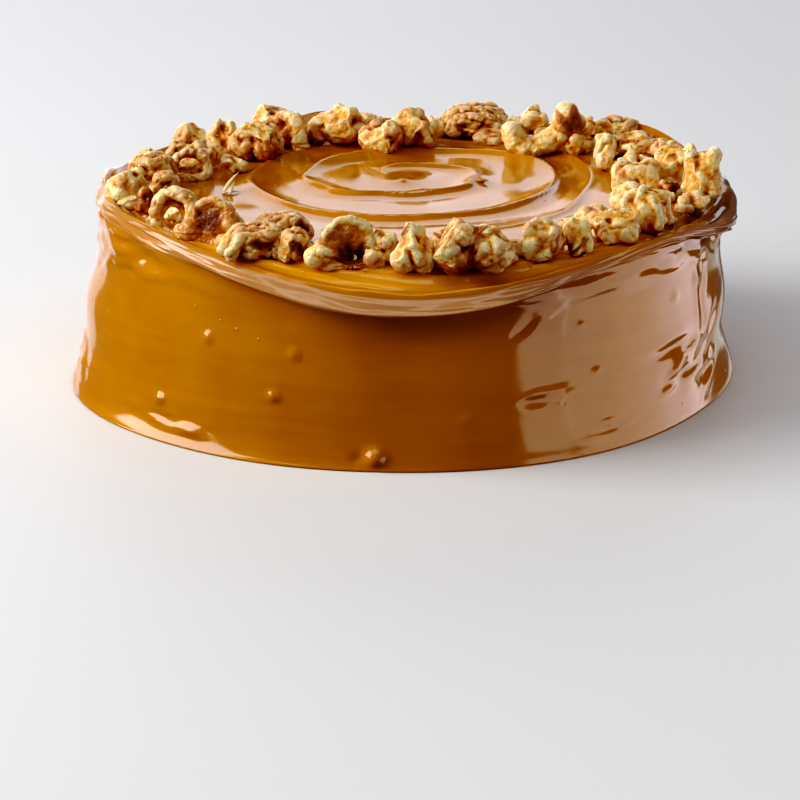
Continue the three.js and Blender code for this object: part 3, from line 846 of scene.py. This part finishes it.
def kernel_finish():
    """Walnut kernel: cream flesh on the ridges, thin tan skin and dark stains, with an oily sheen;
    darker into the furrows, partly from the skin left there and partly as painted shade, with painted
    glints on the skin."""
    finish = Finish("walnut_kernel")
    where = finish.place()
    hollow = finish.node("Attribute", {"attribute_name": "hollow"}, output="Fac")
    skin = finish.node("Attribute", {"attribute_name": "skin"}, output="Fac")
    stain = finish.node("Attribute", {"attribute_name": "stain"}, output="Fac")
    cloud = finish.noise(where, 170.0, 3.0, 0.6)
    grain = finish.noise(where, 650.0, 3.0, 0.65)
    specks = finish.noise(where, 1600.0, 2.0, 0.5)
    # Painted shade: darker the deeper the hollow, partly the brown skin left in the furrows; the flesh
    # also gets a painted orange glow.
    depth = hollow + 0.5 * cloud + 0.15 * grain - 0.29
    flesh = finish.ramp(depth, FLESH_STOPS)
    tan = finish.ramp(depth, SKIN_STOPS)
    cover = finish.span(skin + 0.3 * cloud + 0.15 * grain, 0.62, 0.86)
    color = finish.blend(cover, flesh, tan)
    shade = stain + 0.25 * cloud + 0.15 * grain
    color = finish.blend(finish.span(shade, 0.32, 0.55), color, STAIN_RIM)
    color = finish.blend(finish.span(shade, 0.55, 0.95), color, STAIN_BROWN)
    color = finish.blend(finish.span(shade, 1.0, 1.3), color, STAIN_DARK)
    # Painted glints: near-white flecks on the skin.
    painted_glints = finish.span(specks, 0.7, 0.76)
    color = finish.blend(painted_glints * cover * 0.6, color, PAINTED_GLINT_COLOR)
    relief = 0.5 * cloud + 0.8 * grain + 0.5 * specks
    bump = finish.node("Bump", {}, {"Strength": 0.85, "Distance": 0.0009, "Height": relief})
    return finish.surface(
        Base_Color=color,
        Roughness=finish.span(grain, 0.3, 0.7, 0.27, 0.5),
        Specular_IOR_Level=0.5,
        Coat_Weight=finish.span(specks, 0.5, 0.68, 0.0, 0.7),
        Coat_Roughness=0.22,
        Subsurface_Weight=0.3,
        Subsurface_Radius=(1.0, 0.6, 0.25),
        Subsurface_Scale=0.0016,
        Normal=bump)


# Each piece, clockwise from the left over the back: its kind, its heading in
# degrees, how much skin is on it, and its dark stains (a place in its box, how
# far they reach and how dark they are).
KERNELS = [
    ("ribbed", 10, 0.6, []),
    ("loop", 25, 0.35, [(-0.1, -0.2, 0.1, 0.6, 0.8)]),
    ("lobe", 0, 0.55, []),
    ("chunk", 20, 0.55, []),
    ("lobe", 15, 0.25, [(0.3, -0.3, -0.5, 0.6, 0.5)]),
    ("ribbed", 0, 0.55, []),
    ("lobe", 0, 0.7, [(0, -0.4, 0.2, 0.9, 1.0)]),
    ("chunk", 0, 0.45, []),
    ("ribbed", -20, 0.8, [(0.6, -0.6, -0.4, 0.6, 0.6)]),
    ("lobe", 0, 0.1, []),
    ("blade", -30, 0.35, [(0.0, -0.3, -0.1, 0.6, 0.6)]),
    ("lobe", 5, 0.4, []),
    ("ribbed", 0, 0.55, []),
    ("chunk", 0, 0.3, []),
    ("lobe", -10, 0.65, []),
    ("chunk", 0, 0.85, []),
    ("ribbed", 0, 0.45, [(-0.2, -0.6, -0.5, 0.6, 0.6)]),
    ("lobe", 0, 0.2, []),
    ("ribbed", 0, 0.8, []),
    ("lobe", 0, 0.75, []),
    ("lobe", 0, 0.15, []),
    ("lobe", 0, 0.3, []),
    ("hook", 0, 0.1, [(0.62, -0.6, 0.25, 0.5, 0.8)]),
    ("lobe", 0, 0.5, []),
    ("chunk", -15, 0.65, []),
    ("ribbed", 40, 0.6, []),
    ("ribbed", 80, 0.2, []),
    ("lobe", -25, 0.5, []),
    ("lobe", 85, 0.2, []),
    ("lobe", 75, 0.15, []),
    ("lobe", -30, 0.5, []),
    ("lobe", -60, 0.2, []),
    ("chunk", 0, 0.15, []),
    ("chunk", 0, 0.2, [(0.3, -0.2, 0.8, 0.2, 0.9)]),
    ("ribbed", 85, 0.3, []),
    ("lobe", 0, 0.8, [(0, -0.3, 0.2, 1.0, 1.0)]),
    ("lobe", 0, 0.15, []),
    ("lobe", -10, 0.45, []),
    ("ribbed", 20, 0.25, [(-0.3, -0.5, 0.0, 0.3, 0.8)]),
    ("ribbed", 70, 0.35, []),
    ("chunk", 20, 0.5, []),
    ("ribbed", 100, 0.45, [(-0.7, -0.5, 0.0, 0.4, 0.8)]),
    ("ribbed", 110, 0.4, [(-0.5, -0.6, -0.6, 0.5, 1.1)]),
    ("ribbed", 75, 0.4, [(0.5, -0.6, -0.5, 0.4, 1.0)]),
    ("lobe", 0, 0.35, []),
    ("chunk", 0, 0.6, [(0.1, -0.2, 0.9, 0.25, 0.9), (-0.2, -0.6, -0.6, 0.45, 0.7)]),
    ("lobe", 0, 0.7, [(0.1, -0.5, 0.3, 0.8, 1.1)]),
    ("lobe", 0, 0.35, [(-0.6, -0.3, 0.75, 0.4, 0.9)]),
    ("chunk", 0, 0.6, []),
    ("half", 5, 0.1, [(0.05, -0.2, 0.1, 0.66, 0.62), (0.25, -0.3, -0.4, 0.5, 1.35)]),
    ("ribbed", 10, 0.75, [(0.3, -0.6, -0.2, 0.45, 1.1)]),
    ("ribbed", 5, 0.6, [(0.6, -0.5, 0.2, 0.4, 1.0)]),
    ("ribbed", 10, 0.5, [(0.3, -0.6, 0.1, 0.35, 0.9)]),
    ("half", -25, 0.65, [(0.1, -0.2, 0.0, 0.6, 1.0)]),
    ("arch", -10, 0.3, []),
    ("lobe", 0, 0.9, [(0, 0, 0, 1.2, 0.9)]),
    ("chunk", -20, 0.35, []),
    ("ribbed", 10, 0.65, []),
]
KERNEL_SINK = np.array((0, 0, 1.2))    # how far a piece is pressed into the cream
KERNEL_SPREAD = np.array((0.09, 0.09, 0.02))    # growth over its plain solid, as a share

kernel_paint = kernel_finish()
kernels = []
for number, (kind, heading, skin, stains) in enumerate(KERNELS, start=1):
    node = f"walnut_{number:02d}"
    lowest, highest = (np.array(corner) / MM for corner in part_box(node))
    spread = KERNEL_SPREAD * (highest - lowest)
    lowest, highest = lowest - spread, highest + spread
    lowest = lowest - KERNEL_SINK
    mesh = kernel_mesh(node, kind, lowest, highest, heading, skin, stains, 100 * number)
    kernel = piece(f"kernel_{number:02d}", mesh, kernel_paint)
    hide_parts(node)
    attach(kernel, "root")
    kernels.append(kernel)

# ---- Fragments, splinters and crumbs -----------------------------------------
# What fell off the same kernels as they were broken and laid: small fragments that
# fill the gaps in the ring, a few thin splinters, and crumbs scattered over it.


def joined(meshes, name):
    """One mesh of all those meshes."""
    work = bmesh.new()
    for mesh in meshes:
        work.from_mesh(mesh)
        bpy.data.meshes.remove(mesh)
    whole = bpy.data.meshes.new(name)
    work.to_mesh(whole)
    work.free()
    whole.shade_smooth()
    return whole


def tree_of(things):
    """The surface of those objects, for finding places on it."""
    work = bmesh.new()
    for thing in things:
        work.from_mesh(thing.data)
    tree = BVHTree.FromBMesh(work)
    work.free()
    return tree


FRAGMENTS = 110
FRAGMENT_RING = (90, 103)       # radii between which they lie
RING_MIDDLE = (4, -1)
ABOVE_ALL = 150                 # height from which places on the torte are looked up
DOWN = Vector((0, 0, -1))
chance = random.Random(11)
cream_top = tree_of([coat])
fragments = []
for number in range(FRAGMENTS):
    angle = 360 * (number + chance.uniform(-0.4, 0.4)) / FRAGMENTS
    out = chance.uniform(*FRAGMENT_RING)
    x = RING_MIDDLE[0] + out * math.cos(math.radians(angle))
    y = RING_MIDDLE[1] + out * math.sin(math.radians(angle))
    ground = cream_top.ray_cast(Vector((x, y, ABOVE_ALL)) * MM, DOWN)[0].z / MM
    half = np.array([chance.uniform(2.2, 5.0), chance.uniform(1.8, 3.6), chance.uniform(1.8, 3.4)])
    middle = np.array((x, y, ground + chance.uniform(0.5, 0.95) * half[2]))
    kind = chance.choice(("lobe", "chunk"))
    heading = chance.uniform(0, 180)
    skin = chance.uniform(0, 0.9)
    mesh = kernel_mesh("fragment", kind, middle - half, middle + half, heading, skin, [], 9000 + number)
    fragments.append(mesh)
fragment = piece("kernel_fragments", joined(fragments, "fragments"), kernel_paint)
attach(fragment, "root")

# Splinters that stick up from the cream: place, length, thickness, heading and
# rise in degrees.
SLIVERS = [[-63.5, -3, 10.5, 0.8, 50, 50], [-61, -5, 7.5, 0.8, 80, 36], [-64, -4, 7, 0.7, 25, 14]]
sliver_work = bmesh.new()
for row in SLIVERS:
    flick(sliver_work, *row)
sliver_mesh = bpy.data.meshes.new("slivers")
sliver_work.to_mesh(sliver_mesh)
sliver_work.free()
sliver_mesh.shade_smooth()
set_shade(sliver_mesh, "hollow", np.full(len(sliver_mesh.vertices), 0.15))
slivers = piece("kernel_slivers", sliver_mesh, kernel_paint)
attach(slivers, "root")

CRUMBS = 1500
CRUMB_RING = (96, 5)            # the radius where they lie thickest, and their spread
CRUMB_LEVEL = 60                # crumbs that would land lower than this are left out
crumb_ground = tree_of([coat, fragment, *kernels])
crumb_work = bmesh.new()
for _ in range(CRUMBS):
    angle = math.radians(chance.uniform(0, 360))
    out = chance.gauss(*CRUMB_RING)
    x = RING_MIDDLE[0] + out * math.cos(angle)
    y = RING_MIDDLE[1] + out * math.sin(angle)
    ground = crumb_ground.ray_cast(Vector((x, y, ABOVE_ALL)) * MM, DOWN)[0]
    size = chance.uniform(0.25, 0.75) ** 1.6 * MM
    spans = (chance.uniform(0.8, 1.7), chance.uniform(0.8, 1.3), chance.uniform(0.6, 1.1), 1)
    stretch = Matrix.Diagonal(spans)
    heading = Matrix.Rotation(chance.uniform(0, math.pi), 4, "Z")
    if ground.z > CRUMB_LEVEL * MM:
        bmesh.ops.create_icosphere(crumb_work, subdivisions=1, radius=size,
                                   matrix=Matrix.Translation(ground) @ heading @ stretch)
noise.seed_set(11)              # without it the crumbs' corners would change at each run
for corner in crumb_work.verts:
    corner.co += 0.12 * MM * noise.noise_vector(corner.co * 3000)
crumb_mesh = bpy.data.meshes.new("crumbs")
crumb_work.to_mesh(crumb_mesh)
crumb_work.free()
crumb_places = mesh_places(crumb_mesh) / MM
set_shade(crumb_mesh, "skin", np.clip(0.35 + 0.9 * unevenness(crumb_places, 9, 3), 0, 1))
set_shade(crumb_mesh, "hollow", np.full(len(crumb_places), 0.4))
crumbs = piece("kernel_crumbs", crumb_mesh, kernel_paint)
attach(crumbs, "root")

# ---- The studio --------------------------------------------------------------
# A plain pale floor, a large soft light high on the left, a low wide one and two
# narrow ones on the right, one overhead, and two pale panels behind, which the
# glossy cream mirrors.


def area_light(name, direction, elevation, distance, width, height, power):
    """A soft rectangular light that faces the torte."""
    lamp = bpy.data.lights.new(name, "AREA")
    lamp.shape = "RECTANGLE"
    lamp.size = width
    lamp.size_y = height
    lamp.energy = power
    turn = math.radians(direction)
    rise = math.radians(elevation)
    level = math.cos(rise)
    place = Vector((math.cos(turn) * level, math.sin(turn) * level, math.sin(rise)))
    light = bpy.data.objects.new(name, lamp)
    light.location = place * distance
    light.rotation_euler = (-place).to_track_quat("-Z", "Y").to_euler()
    light.visible_camera = False
    bpy.context.scene.collection.objects.link(light)
    return light


area_light("key_light", 187, 27, 1.9, 1.4, 1.3, 46.3)
right_light = area_light("right_light", -0.4, -9.5, 1.5, 2.14, 0.75, 16.4)
area_light("far_right_light", 54, -18, 1.8, 0.84, 0.38, 0.7)
side_light = area_light("side_light", -45, -9, 1.5, 0.50, 0.85, 4.1)
high_light = area_light("high_light", -98, 66, 2.2, 2.6, 0.66, 13.5)
back_light = area_light("back_light", 94, 17, 2.4, 2.3, 1.75, 19.0)
left_back_light = area_light("left_back_light", 108, -8, 2.2, 1.96, 1.15, 7.1)
for light in (right_light, side_light):
    light.data.color = (1.06, 0.93, 1.0)
for light in (high_light, back_light, left_back_light):
    light.data.color = (0.99, 0.99, 1.09)

floor_finish = Finish("studio_floor")
floor_shade = floor_finish.noise(floor_finish.place(), 3.0)
floor_paint = floor_finish.surface(
    Base_Color=floor_finish.blend(floor_shade, (0.79, 0.79, 0.775, 1), (0.82, 0.82, 0.805, 1)),
    Roughness=0.6, Specular_IOR_Level=0.2)
floor_work = bmesh.new()
bmesh.ops.create_circle(floor_work, cap_ends=True, segments=96, radius=9.0)
floor_mesh = bpy.data.meshes.new("floor")
floor_work.to_mesh(floor_mesh)
floor_work.free()
floor = piece("studio_floor", floor_mesh, floor_paint)
floor.visible_glossy = False    # it is not mirrored in the cream,
floor.visible_diffuse = False   # and throws no light back on it

world = bpy.data.worlds.new("studio")
world.use_nodes = True
world.node_tree.nodes["Background"].inputs["Color"].default_value = (1.0, 1.0, 1.0, 1)
world.node_tree.nodes["Background"].inputs["Strength"].default_value = 0.225
bpy.context.scene.world = world

# Deep contrast: shadows pulled down, pale tones left alone.
look = bpy.context.scene.view_settings
look.view_transform = "Standard"
look.use_curve_mapping = True
for point in ((0.045, 0.0015), (0.117, 0.032), (0.266, 0.181), (0.6, 0.525)):
    look.curve_mapping.curves[3].points.new(*point)
look.curve_mapping.update()

lens = bpy.data.cameras.new("camera")
lens.lens = 113.57
lens.sensor_width = 36.0
camera = bpy.data.objects.new("camera", lens)
camera.location = (0.0019, -0.8943, 0.2836)
ahead = Vector((-0.00206, 0.94866, -0.31630))
level = ahead.to_track_quat("-Z", "Y")
camera.rotation_euler = (level @ Quaternion((0, 0, 1), math.radians(-0.4875))).to_euler()
bpy.context.scene.collection.objects.link(camera)
bpy.context.scene.camera = camera
